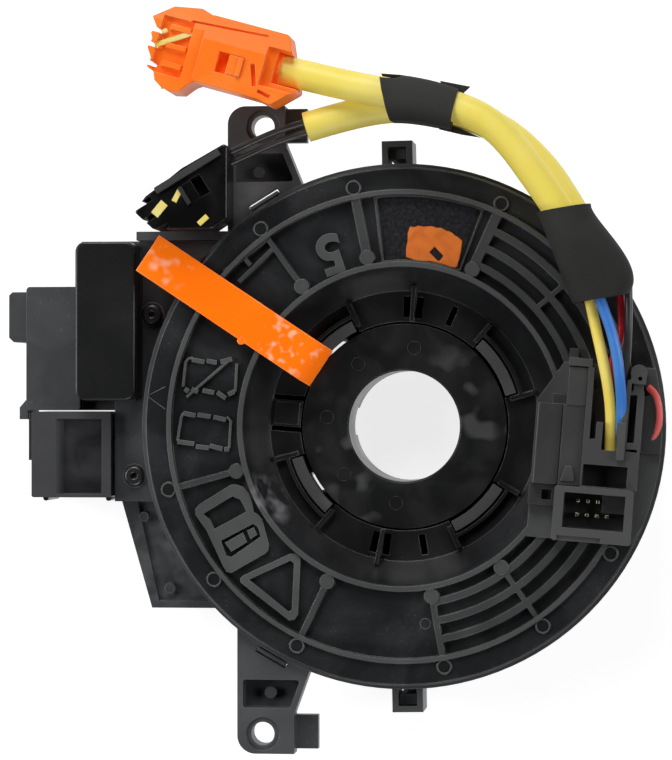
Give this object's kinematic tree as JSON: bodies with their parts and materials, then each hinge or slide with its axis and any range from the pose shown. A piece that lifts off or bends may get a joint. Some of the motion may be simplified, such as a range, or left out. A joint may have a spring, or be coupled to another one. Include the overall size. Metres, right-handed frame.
{
  "type": "steering clock spring",
  "caption": "Steering clock spring: round case with a turning ribbed disc, centre bore, screw ears, side connectors and a taped lead with airbag plugs.",
  "frame": {"origin": "centre of the shaft bore on the back plane of the case", "axes": "+Z along the steering shaft towards the wheel, +Y towards the upper ear, connectors at -X"},
  "size_m": [0.1434, 0.1596, 0.0417],
  "materials": {
    "case_plastic": "satin moulded",
    "face_plastic": "satin moulded",
    "cover_plastic": "satin moulded",
    "connector_plastic": "gloss moulded",
    "pin_metal": "tin plated",
    "screw_metal": "plated",
    "board": "coated board",
    "cable_film": "film",
    "slide_plastic": "low-friction moulded",
    "mark_paint": "painted",
    "strip_film": "bonded film",
    "tube_yellow": "flexible sleeve",
    "tape": "wound tape",
    "wire_yellow": "insulation",
    "wire_blue": "insulation",
    "wire_red": "insulation",
    "wire_black": "insulation",
    "plug_orange": "moulded",
    "plug_black": "moulded",
    "lock_orange": "moulded"
  },
  "bodies": {
    "stator": {"stator_case": "case_plastic", "stator_base": "case_plastic", "sensor_cover": "cover_plastic", "terminal_board": "board", "column_connector": "case_plastic", "column_pins": "pin_metal", "sensor_connector": "connector_plastic", "sensor_pins": "pin_metal", "case_screws": "screw_metal", "stator_lead_block": "case_plastic"},
    "rotor": {"rotor_disc": "face_plastic", "rotor_sleeve": "face_plastic", "rotor_connector": "connector_plastic", "rotor_terminals": "pin_metal", "connector_cover": "connector_plastic", "rotor_lead_block": "case_plastic", "centre_mark": "mark_paint", "lock_strip": "strip_film", "upper_lead": "tube_yellow", "lower_lead": "tube_yellow", "yellow_wire": "wire_yellow", "blue_wire": "wire_blue", "red_wire": "wire_red", "black_wire": "wire_black", "red_loop": "wire_red", "plug_wires": "wire_black", "upper_tape": "tape", "lower_tape": "tape", "orange_plug": "plug_orange", "black_plug": "plug_black"},
    "orange_lock": {"orange_plug_lock": "lock_orange"},
    "black_lock": {"black_plug_lock": "plug_black"},
    "carrier": {"carrier_ring": "slide_plastic", "flat_cable": "cable_film"},
    "roller_1_body": {"roller_1": "slide_plastic"},
    "roller_2_body": {"roller_2": "slide_plastic"},
    "roller_3_body": {"roller_3": "slide_plastic"},
    "roller_4_body": {"roller_4": "slide_plastic"},
    "roller_5_body": {"roller_5": "slide_plastic"},
    "roller_6_body": {"roller_6": "slide_plastic"}
  },
  "joints": [
    {"name": "rotor_spin", "type": "hinge", "parent": "stator", "child": "rotor", "pos_m": [0, 0, 0.0155], "axis": [0, 0, 1], "range_deg": [-900, 900]},
    {"name": "carrier_spin", "type": "hinge", "parent": "stator", "child": "carrier", "pos_m": [0, 0, 0.003], "axis": [0, 0, 1], "range_deg": [-370, 370], "deforming": ["flat_cable"]},
    {"name": "roller_1_spin", "type": "hinge", "parent": "carrier", "child": "roller_1_body", "pos_m": [0.03707, 0.0214, 0.012], "axis": [0, 0, 1], "range_deg": [-2660, 2660]},
    {"name": "roller_2_spin", "type": "hinge", "parent": "carrier", "child": "roller_2_body", "pos_m": [0, 0.0428, 0.012], "axis": [0, 0, 1], "range_deg": [-2660, 2660]},
    {"name": "roller_3_spin", "type": "hinge", "parent": "carrier", "child": "roller_3_body", "pos_m": [-0.03707, 0.0214, 0.012], "axis": [0, 0, 1], "range_deg": [-2660, 2660]},
    {"name": "roller_4_spin", "type": "hinge", "parent": "carrier", "child": "roller_4_body", "pos_m": [-0.03707, -0.0214, 0.012], "axis": [0, 0, 1], "range_deg": [-2660, 2660]},
    {"name": "roller_5_spin", "type": "hinge", "parent": "carrier", "child": "roller_5_body", "pos_m": [0, -0.0428, 0.012], "axis": [0, 0, 1], "range_deg": [-2660, 2660]},
    {"name": "roller_6_spin", "type": "hinge", "parent": "carrier", "child": "roller_6_body", "pos_m": [0.03707, -0.0214, 0.012], "axis": [0, 0, 1], "range_deg": [-2660, 2660]},
    {"name": "orange_lock_slide", "type": "slide", "parent": "rotor", "child": "orange_lock", "axis": [-0.9636, 0.2672, 0], "range_m": [0, 0.0022]},
    {"name": "black_lock_slide", "type": "slide", "parent": "rotor", "child": "black_lock", "axis": [0.848, 0.5299, 0], "range_m": [0, 0.0022]}
  ],
  "couplings": [
    {"joint": "carrier_spin", "follows": "rotor_spin", "ratio": 0.41},
    {"joint": "roller_1_spin", "follows": "rotor_spin", "ratio": -2.95},
    {"joint": "roller_2_spin", "follows": "rotor_spin", "ratio": -2.95},
    {"joint": "roller_3_spin", "follows": "rotor_spin", "ratio": -2.95},
    {"joint": "roller_4_spin", "follows": "rotor_spin", "ratio": -2.95},
    {"joint": "roller_5_spin", "follows": "rotor_spin", "ratio": -2.95},
    {"joint": "roller_6_spin", "follows": "rotor_spin", "ratio": -2.95}
  ]
}
